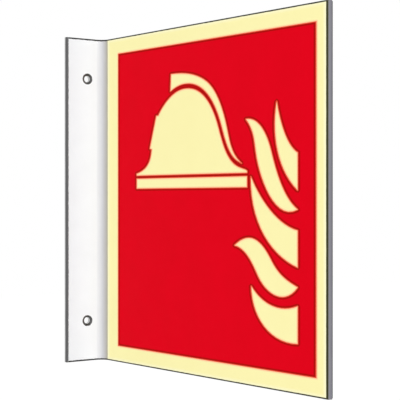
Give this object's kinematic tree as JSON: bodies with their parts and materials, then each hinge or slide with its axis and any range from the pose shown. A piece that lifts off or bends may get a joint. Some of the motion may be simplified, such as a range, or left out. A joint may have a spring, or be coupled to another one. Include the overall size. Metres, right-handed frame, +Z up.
{
  "type": "projecting fire equipment sign",
  "caption": "Folded L-shaped aluminium sign that screws to a wall and projects from it, luminous on both faces with a red fire helmet and flames pictogram.",
  "frame": {"origin": "on the wall, at the centre of the pattern of the two screw holes, in the plane of the flange's back face", "axes": "+Z up along the fold, +Y into the wall, so that the sign projects towards -Y; +X square to the projecting wing, whose front face looks towards -X"},
  "size_m": [0.0304, 0.2085, 0.2],
  "materials": {
    "coated_sheet": "white stoved coating, bare and dull grey at the cut edges",
    "luminous_film": "pale cream yellow photoluminescent film, satin",
    "red_print": "opaque signal red screen print, satin"
  },
  "bodies": {
    "root": {"folded_sheet": "coated_sheet", "front_luminous_film": "luminous_film", "front_red_print": "red_print", "back_luminous_film": "luminous_film", "back_red_print": "red_print"}
  },
  "joints": []
}
